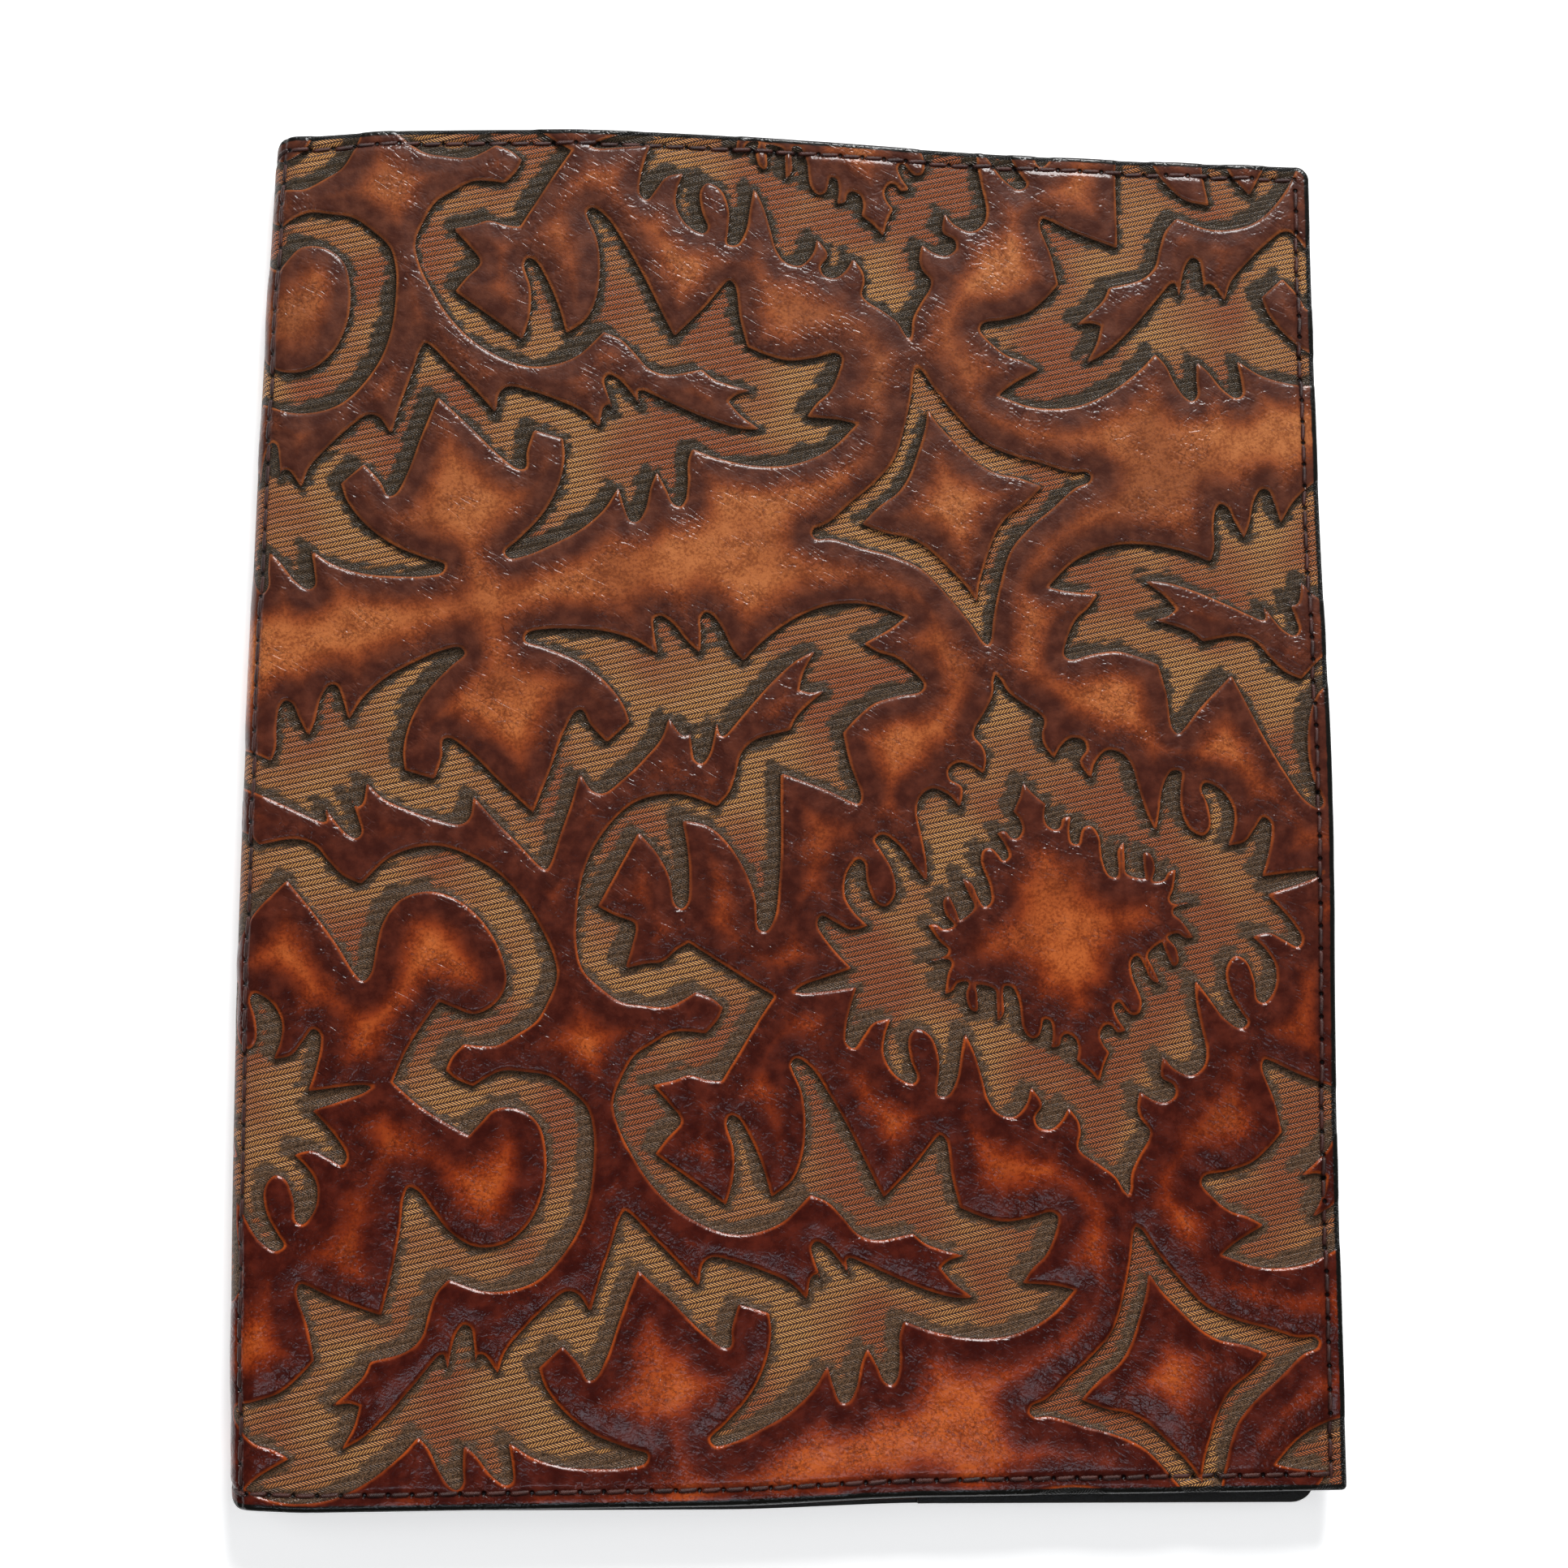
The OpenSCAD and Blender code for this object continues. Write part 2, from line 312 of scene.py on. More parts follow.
FIELD_STEP = 0.2  # spacing of the samples that the ornament's distances are kept at
FIELD_REACH = 12.0  # distances are measured up to this far from an outline
CURVE_STEP = 0.5
INSIDE_MIRROR = 0.001  # samples on a mirror line are tested this far inside the cell


def smooth_run(points):
    """A run of points as a smooth curve through them (a centripetal Catmull-Rom curve)."""
    knots = np.array(points, float)
    if len(knots) == 2:
        return knots
    knots = np.vstack([2 * knots[0] - knots[1], knots, 2 * knots[-1] - knots[-2]])
    curve = []
    for p0, p1, p2, p3 in zip(knots, knots[1:], knots[2:], knots[3:]):
        gaps = [math.sqrt(np.linalg.norm(b - a)) for a, b in ((p0, p1), (p1, p2), (p2, p3))]
        t1, t2, t3 = np.cumsum(gaps)
        count = int(np.linalg.norm(p2 - p1) / CURVE_STEP) + 2
        t = np.linspace(t1, t2, count, endpoint=False)[:, None]
        a1 = (t1 - t) / t1 * p0 + t / t1 * p1
        a2 = (t2 - t) / (t2 - t1) * p1 + (t - t1) / (t2 - t1) * p2
        a3 = (t3 - t) / (t3 - t2) * p2 + (t - t2) / (t3 - t2) * p3
        b1 = (t2 - t) / t2 * a1 + t / t2 * a2
        b2 = (t3 - t) / (t3 - t1) * a2 + (t - t1) / (t3 - t1) * a3
        curve.append((t2 - t) / (t2 - t1) * b1 + (t - t1) / (t2 - t1) * b2)
    curve.append(knots[-2][None])
    return np.vstack(curve)


def on_mirror_line(a, b):
    """True for a piece of outline that lies on a mirror line, where the pressed area simply goes on."""
    return any(a[k] == b[k] and a[k] in (0, TILE[k]) for k in (0, 1))


def crossings(grid_x, grid_y, outline):
    """True for grid points inside a closed outline."""
    inside = np.zeros(grid_x.shape, bool)
    grid_x = np.clip(grid_x, INSIDE_MIRROR, TILE[0] - INSIDE_MIRROR)
    grid_y = np.clip(grid_y, INSIDE_MIRROR, TILE[1] - INSIDE_MIRROR)
    for a, b in zip(outline, np.roll(outline, -1, 0)):
        if a[1] == b[1]:
            continue
        spans = (grid_y >= min(a[1], b[1])) & (grid_y < max(a[1], b[1]))
        at = a[0] + (grid_y - a[1]) * (b[0] - a[0]) / (b[1] - a[1])
        inside ^= spans & (grid_x < at)
    return inside


def lower_distance(field, a, b):
    """Brings the samples near the segment from a to b down to their distance from it."""
    low = np.maximum((np.minimum(a, b) - FIELD_REACH) / FIELD_STEP, 0).astype(int)
    high = ((np.maximum(a, b) + FIELD_REACH) / FIELD_STEP).astype(int) + 2
    part = field[low[0]:max(high[0], 0), low[1]:max(high[1], 0)]
    if not part.size:
        return
    x = (low[0] + np.arange(part.shape[0]))[:, None] * FIELD_STEP
    y = (low[1] + np.arange(part.shape[1]))[None, :] * FIELD_STEP
    along = b - a
    t = ((x - a[0]) * along[0] + (y - a[1]) * along[1]) / max(along @ along, 1e-9)
    t = np.clip(t, 0, 1)
    np.minimum(part, np.hypot(x - a[0] - t * along[0], y - a[1] - t * along[1]), out=part)


def mirrored(a, b):
    """The segment itself and its mirror images that lie close enough to matter in the cell."""
    yield a, b
    for k in (0, 1):
        for line in (0, TILE[k]):
            if min(abs(a[k] - line), abs(b[k] - line)) < FIELD_REACH:
                flip = np.array([1.0, 1.0])
                flip[k] = -1
                shift = np.zeros(2)
                shift[k] = 2 * line
                yield a * flip + shift, b * flip + shift


def ornament_field(foliage):
    """Distances to the nearest outline over one cell: above zero in pressed areas, below zero on raised ones.

    The second field returned is how much closer the rubbed colour comes to the outline at each sample.
    """
    counts = (TILE / FIELD_STEP + 1.5).astype(int)
    field = np.full(counts, FIELD_REACH)
    grid_x, grid_y = np.meshgrid(*(np.arange(n) * FIELD_STEP for n in counts), indexing="ij")
    inside = np.zeros(field.shape, bool)
    closer = np.zeros(field.shape)
    for shape in (foliage, STAR, MEDALLION):
        runs = [smooth_run([before[-1], *run]) for before, run in zip([shape[-1], *shape], shape)]
        covered = crossings(grid_x, grid_y, np.vstack([run[:-1] for run in runs]))
        inside |= covered
        closer += STAR_RUB * covered * (shape is STAR)
        for run in runs:
            for a, b in zip(run, run[1:]):
                if on_mirror_line(a, b):
                    continue
                for c, d in mirrored(a, b):
                    lower_distance(field, c, d)
    return np.where(inside, field, -field), closer


RIGHT_FIELD, CLOSER = ornament_field(FOLIAGE)
LEFT_FIELD, _ = ornament_field(FOLIAGE[:LEAF_RUNS.start] + BULB + FOLIAGE[LEAF_RUNS.stop:])
TO_TILE = np.linalg.inv(np.column_stack([TILE_ACROSS, TILE_UP]))


def tile_place(side, reach, along):
    """Unfolded hide coordinates in the ornament's own directions, as two arrays."""
    reach = reach - fold_shift(reach, along)
    across = FOLD_X + reach if side == FRONT else FOLD_X - 2 * FOLD_HALF - reach
    x, y = across - TILE_ORIGIN[0], along - TILE_ORIGIN[1]
    return TO_TILE[0, 0] * x + TO_TILE[0, 1] * y, TO_TILE[1, 0] * x + TO_TILE[1, 1] * y


def recess_distance(side, reach, along, left=LEFT_FIELD, right=RIGHT_FIELD):
    """Distance into the pressed areas, looked up in the cell on either side of the first mirror line."""
    spot = tile_place(side, reach, along)
    index = []
    for value, size in zip(spot, TILE):
        folded = np.abs((value + size) % (2 * size) - size)
        index.append(np.clip(folded / FIELD_STEP, 0, size / FIELD_STEP - 1e-6))
    i, j = (value.astype(int) for value in index)
    a, b = index[0] - i, index[1] - j
    i1, j1 = np.minimum(i + 1, left.shape[0] - 1), np.minimum(j + 1, left.shape[1] - 1)
    found = []
    for field in (left, right):
        low = field[i, j] * (1 - a) + field[i1, j] * a
        high = field[i, j1] * (1 - a) + field[i1, j1] * a
        found.append(low * (1 - b) + high * b)
    return np.where(spot[0] < 0, *found)


# ------ depth of each surface


def rounded_edge(distance, radius):
    """How far a surface falls away close to its cut edge."""
    inward = np.clip(radius - distance, 0, radius)
    return radius - np.sqrt(radius ** 2 - inward ** 2)


def seam_distance(side, reach, along):
    """Distance to the nearest line of stitches round the cover."""
    round_edges = np.abs(edge_distance(side, reach, along) - SEAM_IN)
    return np.minimum(round_edges, np.abs(reach - FOLD_SEAM))


def seam_corner(side):
    """Reach of the corner where the seam turns up the free edge."""
    return RIGHT[side] - FOLD_X + RIGHT_BOW - SEAM_IN


def seam_run(side, reach, along):
    """Distance along the stitch line, counted so that a whole number of pitches is a needle hole."""
    edge = edge_distance(side, reach, along)
    from_right = np.abs(right_edge(side, along) - reach - edge)
    upright = (from_right < 0.01) | (np.abs(reach - FOLD_SEAM) < np.abs(edge - SEAM_IN))
    return np.where(upright, along - BOTTOM - SEAM_IN, seam_corner(side) - reach)


def furrow(side, reach, along):
    """Depth of the groove pressed into the leather by the seam's stitches."""
    return FURROW * np.exp(-(seam_distance(side, reach, along) / FURROW_WIDTH) ** 2)


def hide_depth(side, reach, along):
    """Depth of the hide's outer surface: pressed and puffed areas, the seam's groove and the rounded edge."""
    recess = recess_distance(side, reach, along)
    pressed = EMBOSS * ramp(recess, -0.45, 0.75) * ramp(reach, -7, 3)
    puffed = PUFF * (1 - ramp(-recess, -0.5, 5.0))
    sag = 0.08 * np.sin(reach / 23) * np.sin(along / 31 + 1) + 0.05 * np.sin(reach / 9 + along / 14)
    edge = edge_distance(side, reach, along)
    free = ramp(edge, 0.5, 4.5)
    relief = pressed * (EDGE_RELIEF + (1 - EDGE_RELIEF) * free) + puffed + EDGE_PRESS * (1 - free)
    depth = relief + furrow(side, reach, along) + (SAG + sag) * ramp(edge, 0, 8)
    return np.minimum(depth, HIDE_THICK - HIDE_LEAST) + rounded_edge(edge, 0.8)


def lining_depth(side, reach, along):
    """Depth of the lining's free face, with a shallow channel round the board under it."""
    edge = edge_distance(side, reach, along)
    channel = 0.25 * np.exp(-((edge - (TOP - BOARD_HIGH[side][1]) + 1) / 1.0) ** 2)
    groove = 0.5 * furrow(side, reach, along)
    return LINING_DEPTH - channel - groove - 0.3 * rounded_edge(edge, 0.5)


def lining_under(side, reach, along):
    """Depth of the lining's hidden face, which steps over the board."""
    edge = edge_distance(side, reach, along)
    over_board = (edge > TOP - BOARD_HIGH[side][1]) & (reach > BOARD_LOW[0] - FOLD_X)
    return np.where(over_board, BOARD_DEPTH, HIDE_THICK)


def pocket_face(side, reach, along):
    """Depth of a pocket's free face, rounded at its cut edges and at its mouth."""
    edge = np.minimum(edge_distance(side, reach, along), reach - MOUTH[side] + FOLD_X)
    hem = 0.25 * np.exp(-((reach - MOUTH[side] + FOLD_X - HEM_IN) / 0.6) ** 2)
    return POCKET_DEPTH - rounded_edge(edge, 0.35) - hem - furrow(side, reach, along)


def pocket_under(side, reach, along):
    """Depth of a pocket's hidden face: down on the lining round three sides, lifted off it in the middle."""
    edge = edge_distance(side, reach, along)
    return np.where(edge < POCKET_SEAM, LINING_DEPTH, POCKET_UNDER)


# ------ meshes on the chart


EDGE_LINES = np.array([0, 0.08, 0.2, 0.4, 0.65, 0.95, 1.4])


def grid_lines(start, stop, step, fine_start, fine_stop):
    """Grid lines about step apart, closer together towards a cut edge."""
    inset = EDGE_LINES[-1] + step
    low = start + inset * fine_start
    high = stop - inset * fine_stop
    lines = list(np.linspace(low, high, max(2, round((high - low) / step) + 1)))
    if fine_start:
        lines = list(start + EDGE_LINES) + lines
    if fine_stop:
        lines = lines + list((stop - EDGE_LINES)[::-1])
    return np.array(lines)


def new_mesh(name, points, faces):
    """A mesh object from points in mm."""
    mesh = bpy.data.meshes.new(name)
    mesh.from_pydata((np.asarray(points) * MM).tolist(), [], faces)
    mesh.polygons.foreach_set("use_smooth", [True] * len(mesh.polygons))
    mesh.update()
    piece = bpy.data.objects.new(name, mesh)
    bpy.context.scene.collection.objects.link(piece)
    return piece


def store(piece, name, values):
    """Keeps one number, or three, for each point of a mesh, where its material can read them."""
    values = np.asarray(values, np.float32)
    if values.ndim == 1:
        piece.data.attributes.new(name, "FLOAT", "POINT").data.foreach_set("value", values)
    else:
        piece.data.attributes.new(name, "FLOAT_VECTOR", "POINT").data.foreach_set("vector", values.ravel())


def sheet_faces(shape, every, flip):
    """Faces of a closed slab: a fine face, a face that keeps only every so many grid lines, and the rim.

    Returns the faces and the grid indices of the slab's second face, in the order of its points.
    """
    rows, columns = shape
    fine = np.arange(rows * columns).reshape(shape)
    keep_rows = sorted({*range(0, rows, every), rows - 1})
    keep_columns = sorted({*range(0, columns, every), columns - 1})
    kept = np.zeros(shape, bool)
    kept[np.ix_(keep_rows, keep_columns)] = True
    kept[[0, -1], :] = True
    kept[:, [0, -1]] = True
    second = np.full(shape, -1)
    second[kept] = rows * columns + np.arange(kept.sum())
    quads = np.stack([fine[:-1, :-1], fine[1:, :-1], fine[1:, 1:], fine[:-1, 1:]], -1).reshape(-1, 4)
    faces = quads.tolist()
    for i0, i1 in zip(keep_rows, keep_rows[1:]):
        for j0, j1 in zip(keep_columns, keep_columns[1:]):
            ring = [second[i0, j] for j in range(j0, j1)]
            ring += [second[i, j1] for i in range(i0, i1)]
            ring += [second[i1, j] for j in range(j1, j0, -1)]
            ring += [second[i, j0] for i in range(i1, i0, -1)]
            faces.append([int(k) for k in ring if k >= 0])
    border = [(i, 0) for i in range(rows - 1)] + [(rows - 1, j) for j in range(columns - 1)]
    border += [(i, columns - 1) for i in range(rows - 1, 0, -1)] + [(0, j) for j in range(columns - 1, 0, -1)]
    for a, b in zip(border, border[1:] + border[:1]):
        faces.append([int(fine[b]), int(fine[a]), int(second[a]), int(second[b])])
    if flip:
        faces = [face[::-1] for face in faces]
    return faces, kept


def slab(name, side, reaches, alongs, first, second, every=1, flip=False):
    """A closed slab between two depth functions, over a grid of chart lines."""
    reach, along = np.meshgrid(reaches, alongs, indexing="ij")
    reach, along = fit_outline(side, reach, along)
    faces, kept = sheet_faces(reach.shape, every, (side == BACK) != flip)
    all_reach = np.concatenate([reach.ravel(), reach[kept]])
    all_along = np.concatenate([along.ravel(), along[kept]])
    depth = np.concatenate([
        first(side, reach, along).ravel(),
        second(side, reach[kept], along[kept]) + np.zeros(kept.sum()),
    ])
    piece = new_mesh(name, place(side, all_reach, all_along, depth), faces)
    u, v = tile_place(side, all_reach, all_along)
    edge = edge_distance(side, all_reach, all_along)
    recess = recess_distance(side, all_reach, all_along)
    shaded = recess_distance(side, all_reach + side * RUB_SHIFT[0], all_along - RUB_SHIFT[1])
    seam = seam_distance(side, all_reach, all_along)
    store(piece, "hide_place", np.stack([u, v, all_along], -1))
    store(piece, "hide_edge", np.stack([recess, edge, seam], -1))
    store(piece, "hide_seam", seam_run(side, all_reach, all_along))
    closer = recess_distance(side, all_reach, all_along, CLOSER, CLOSER)
    store(piece, "hide_rub", np.minimum(recess, shaded + RUB_SHIFT_KEEP) + closer)
    return piece


def hide_under(side, reach, along):
    """Depth of the hide's hidden face."""
    return HIDE_THICK


def build_hide(side, name):
    """Half of the embossed hide: one panel and its half of the fold."""
    reaches = grid_lines(-FOLD_HALF, RIGHT[side] - FOLD_X, CELL[side], False, True)
    alongs = grid_lines(BOTTOM, TOP, CELL[side], True, True)
    return slab(name, side, reaches, alongs, hide_depth, hide_under, every=8)


def build_lining(side, name):
    """Half of the lining, which follows the inside of the hide round the fold."""
    reaches = grid_lines(-FOLD_HALF, RIGHT[side] - FOLD_X, 1.0, False, True)
    alongs = grid_lines(BOTTOM, TOP, 1.5, True, True)
    return slab(name, side, reaches, alongs, lining_depth, lining_under, flip=True)


def build_pocket(side, name):
    """A pocket sewn down round three sides, open towards the fold."""
    reaches = grid_lines(MOUTH[side] - FOLD_X, RIGHT[side] - FOLD_X, 1.5, True, True)
    alongs = grid_lines(BOTTOM, TOP, 1.5, True, True)
    return slab(name, side, reaches, alongs, pocket_face, pocket_under, flip=True)


# ------ stitches

STITCH_LIFT = 0.08  # height of a stitch's middle line over the bottom of its groove
STITCH_DIVE = 0.45
STITCH_FLAT = 0.8  # stitches are pressed a little flat
STITCH_RINGS = 11
STITCH_SIDES = 8
PLY = 0.17  # how far the two plies of the thread bulge
TWIST = 2.2  # turns of the plies along one stitch


def unit(vectors):
    """The vectors, made one long."""
    return vectors / np.linalg.norm(vectors, axis=-1, keepdims=True)


def stitch_rows(side):
    """Every stitch round one side of the cover, as rows of reach, along, and the direction it runs in."""
    rows = []
    nudge = 0.5
    right = seam_corner(side)
    for k in range(int((right + FOLD_HALF) / STITCH_PITCH)):
        reach = right - (k + 0.5) * STITCH_PITCH
        for edge_line, inward in ((top_edge, -SEAM_IN), (low_edge, SEAM_IN)):
            slope = (edge_line(side, reach + nudge) - edge_line(side, reach - nudge)) / (2 * nudge)
            rows.append((reach, edge_line(side, reach) + inward, 1, slope))
    for k in range(int((TOP - BOTTOM - 2 * SEAM_IN) / STITCH_PITCH)):
        along = BOTTOM + SEAM_IN + (k + 0.5) * STITCH_PITCH
        rows.append((FOLD_SEAM, along, 0, 1))
        if along > low_edge(side, right) + SEAM_IN:
            slope = (right_edge(side, along + nudge) - right_edge(side, along - nudge)) / (2 * nudge)
            rows.append((right_edge(side, along) - SEAM_IN, along, slope, 1))
    return np.array(rows, float)


def hem_rows(side):
    """The straight row of stitches behind a pocket's mouth."""
    reach = MOUTH[side] - FOLD_X + HEM_IN
    count = int((TOP - BOTTOM - 2 * POCKET_SEAM) / STITCH_PITCH)
    start = (TOP + BOTTOM - count * STITCH_PITCH) / 2
    return np.array([(reach, start + (k + 0.5) * STITCH_PITCH, 0, 1) for k in range(count)])


def build_stitches(name, side, rows, depth_of, outward):
    """Two-ply stitches that rise out of one needle hole and dive into the next.

    outward is -1 where they show on the outside of the hide and 1 where they show on the inside.
    """
    count = len(rows)
    t = np.linspace(-1, 1, STITCH_RINGS)
    lean = 0.06 * np.sin(np.arange(count) * 2.3) + 0.09
    reach = rows[:, 0, None] + t * STITCH_LENGTH / 2 * rows[:, 2, None] + lean[:, None] * t * rows[:, 3, None]
    along = rows[:, 1, None] + t * STITCH_LENGTH / 2 * rows[:, 3, None] + lean[:, None] * t * rows[:, 2, None]
    surface = depth_of(side, rows[:, 0], rows[:, 1])[:, None]
    lift = STITCH_LIFT * np.sqrt(np.clip(1 - t ** 2, 0, 1)) - STITCH_DIVE * t ** 6
    depth = surface + outward * lift
    centre = place(side, reach, along, depth)
    up = unit(place(side, reach, along, depth + outward * 0.1) - centre)
    forward = np.gradient(centre, axis=1)
    across = unit(np.cross(forward, up))
    up = unit(np.cross(across, forward))
    turn = np.linspace(0, 2 * math.pi, STITCH_SIDES, endpoint=False)
    swell = 1 + PLY * np.cos(2 * (turn[None, :] - TWIST * math.pi * t[:, None]))
    taper = np.clip(1.25 * (1 - 0.55 * t ** 8), 0, 1)[:, None]
    ring = THREAD_RADIUS * swell * taper
    points = (
        centre[:, :, None]
        + up[:, :, None] * (STITCH_FLAT * ring * np.sin(turn))[None, :, :, None]
        + across[:, :, None] * (ring * np.cos(turn))[None, :, :, None]
    )
    faces = []
    for k in range(count):
        base = k * STITCH_RINGS * STITCH_SIDES
        for r in range(STITCH_RINGS - 1):
            for s in range(STITCH_SIDES):
                a = base + r * STITCH_SIDES + s
                b = base + r * STITCH_SIDES + (s + 1) % STITCH_SIDES
                faces.append([a, b, b + STITCH_SIDES, a + STITCH_SIDES])
        last = base + (STITCH_RINGS - 1) * STITCH_SIDES
        faces.append(list(range(base + STITCH_SIDES - 1, base - 1, -1)))
        faces.append(list(range(last, last + STITCH_SIDES)))
    piece = new_mesh(name, points.reshape(-1, 3), faces)
    thread = np.zeros((count, STITCH_RINGS, STITCH_SIDES, 3))
    thread[..., 0] = (t * STITCH_LENGTH / 2)[None, :, None] + np.arange(count)[:, None, None] * 7.0
    thread[..., 1] = turn
    thread[..., 2] = np.abs(t)[None, :, None]
    store(piece, "thread_place", thread.reshape(-1, 3))
    return piece


def inner_face_depth(side, reach, along):
    """Depth of whatever is sewn to the inside: the pocket where there is one, and the lining elsewhere."""
    on_pocket = reach > MOUTH[side] - FOLD_X
    return np.where(on_pocket, POCKET_DEPTH - FURROW, LINING_DEPTH - FURROW / 2)


# ------ materials


def colour(red, green, blue):
    """A colour given as it looks on a screen, as the linear values that a shader takes."""
    values = [v / 255 for v in (red, green, blue)]
    linear = [v / 12.92 if v <= 0.04045 else ((v + 0.055) / 1.055) ** 2.4 for v in values]
    return (*linear, 1.0)


class Shader:
    """One node material under construction. Most methods add nodes and return the socket with the result."""

    def __init__(self, name):
        self.material = bpy.data.materials.new(name)
        self.material.use_nodes = True
        self.tree = self.material.node_tree
        self.surface = self.tree.nodes["Principled BSDF"]

    def put(self, socket, value):
        if isinstance(value, bpy.types.NodeSocket):
            self.tree.links.new(value, socket)
        else:
            socket.default_value = value

    def node(self, kind, inputs=(), **settings):
        made = self.tree.nodes.new(kind)
        for key, value in settings.items():
            setattr(made, key, value)
        for key, value in dict(inputs).items():
            self.put(made.inputs[key], value)
        return made

    def math(self, operation, first, second=0.0):
        return self.node("ShaderNodeMath", {0: first, 1: second}, operation=operation).outputs[0]

    def add(self, first, second):
        return self.math("ADD", first, second)

    def less(self, first, second):
        """first minus second."""
        return self.math("SUBTRACT", first, second)

    def times(self, first, second):
        return self.math("MULTIPLY", first, second)

    def weighted(self, *terms):
        """The sum of some values, each multiplied by its weight."""
        total = self.times(*terms[0])
        for term in terms[1:]:
            total = self.add(total, self.times(*term))
        return total

    def ramp(self, value, low, high, start=0.0, end=1.0):
        """start below low, end above high, and smooth between."""
        made = self.node(
            "ShaderNodeMapRange",
            {"Value": value, "From Min": low, "From Max": high, "To Min": start, "To Max": end},
            interpolation_type="SMOOTHSTEP",
        )
        return made.outputs[0]

    def mix(self, share, first, second):
        """The first colour where share is 0 and the second where it is 1."""
        made = self.node("ShaderNodeMix", data_type="RGBA")
        self.put(made.inputs["Factor"], share)
        self.put(made.inputs[6], first)
        self.put(made.inputs[7], second)
        return made.outputs[2]

    def blend(self, share, first, second):
        """The first number where share is 0 and the second where it is 1."""
        kept = self.times(first, self.less(1.0, share))
        return self.add(kept, self.times(second, share))

    def stored(self, name):
        """The node that reads what store() kept with the mesh."""
        return self.node("ShaderNodeAttribute", attribute_name=name)

    def split(self, vector):
        return self.node("ShaderNodeSeparateXYZ", {0: vector}).outputs

    def join(self, x, y, z=0.0):
        return self.node("ShaderNodeCombineXYZ", {0: x, 1: y, 2: z}).outputs[0]

    def noise(self, place, scale, detail=3.0, roughness=0.55):
        made = self.node(
            "ShaderNodeTexNoise",
            {"Vector": place, "Scale": scale, "Detail": detail, "Roughness": roughness},
        )
        return made.outputs[0]

    def thin_lines(self, place, scale, detail):
        """0 on a net of wandering lines, and larger away from them."""
        return self.math("ABSOLUTE", self.less(self.noise(place, scale, detail, 0.6), 0.5))

    def cracks(self, place, scale):
        """Distance to the nearest edge of a field of irregular cells, as skin has."""
        inputs = {"Vector": place, "Scale": scale}
        return self.node("ShaderNodeTexVoronoi", inputs, feature="DISTANCE_TO_EDGE").outputs[0]

    def finish(self, base, roughness, height, coat=0.0, coat_roughness=0.3, specular=0.5):
        """Connects colour, roughness and a height in mm, and sets the even values on their own sockets."""
        surface = self.surface.inputs
        self.put(surface["Base Color"], base)
        self.put(surface["Roughness"], roughness)
        bump = self.node("ShaderNodeBump", {"Height": height, "Distance": MM, "Strength": 1.0})
        self.put(surface["Normal"], bump.outputs[0])
        self.put(surface["Coat Normal"], bump.outputs[0])
        surface["Coat Weight"].default_value = coat
        surface["Coat Roughness"].default_value = coat_roughness
        surface["Specular IOR Level"].default_value = specular
        return self.material


HERRINGBONE_ROW = 1.0
HERRINGBONE_TICK = 0.62
HERRINGBONE_SLANT = 1.15


def herringbone(look, u, v):
    """Height from 0 to 1 of short slanted ridges in rows, every second row slanting the other way."""
    row = look.math("DIVIDE", v, HERRINGBONE_ROW)
    whole = look.math("FLOOR", row)
    part = look.less(look.less(row, whole), 0.5)
    way = look.less(look.times(look.math("FLOORED_MODULO", whole, 2.0), 2.0), 1.0)
    slide = look.times(look.times(part, way), HERRINGBONE_SLANT * HERRINGBONE_ROW)
    phase = look.times(look.add(u, slide), 2 * math.pi / HERRINGBONE_TICK)
    wave = look.add(look.times(look.math("COSINE", phase), 0.5), 0.5)
    row_end = look.ramp(look.math("ABSOLUTE", part), 0.24, 0.48, 1.0, 0.12)
    return look.times(wave, row_end)


def edge_paint(look, edge, wobble, width):
    """1 on the painted cut edge and 0 away from it."""
    distance = look.add(edge, look.times(wobble, 0.5))
    return look.ramp(distance, width, width + 0.35, 1.0, 0.0)


# The hide's colours come in pairs: the first near the bottom of the page, the second near its top. The pairs
# hold painted light: raised leather is paler and greyer at the top, a painted sheen, and darker at the
# bottom, painted shade; pressed margins are darker at the top.
RIM_DARK = colour(44, 9, 8), colour(60, 29, 23)
RIM_LIGHT = colour(116, 42, 24), colour(122, 68, 46)
AMBER_DARK = colour(118, 38, 12), colour(122, 60, 32)
AMBER_LIGHT = colour(156, 56, 16), colour(154, 78, 40)
AMBER_GLOW = colour(202, 98, 40), colour(192, 118, 68)
LIP = colour(186, 80, 26), colour(166, 92, 46)
MARGIN_DARK = colour(38, 28, 21), colour(22, 19, 15)
MARGIN_LIGHT = colour(130, 98, 72), colour(90, 73, 55)

TAN_BRIGHT = colour(238, 172, 102)
TAN_DULL = colour(196, 108, 64)
TAN_SPOT = colour(120, 62, 36)
GROUND_DARK = colour(44, 27, 20)
GROUND_LIGHT = colour(88, 57, 42)
WALL_SHADE = colour(18, 13, 10)
CREASE = colour(46, 18, 14)
FURROW_SHADE = colour(42, 18, 15)
HOLE_SHADE = colour(12, 7, 7)


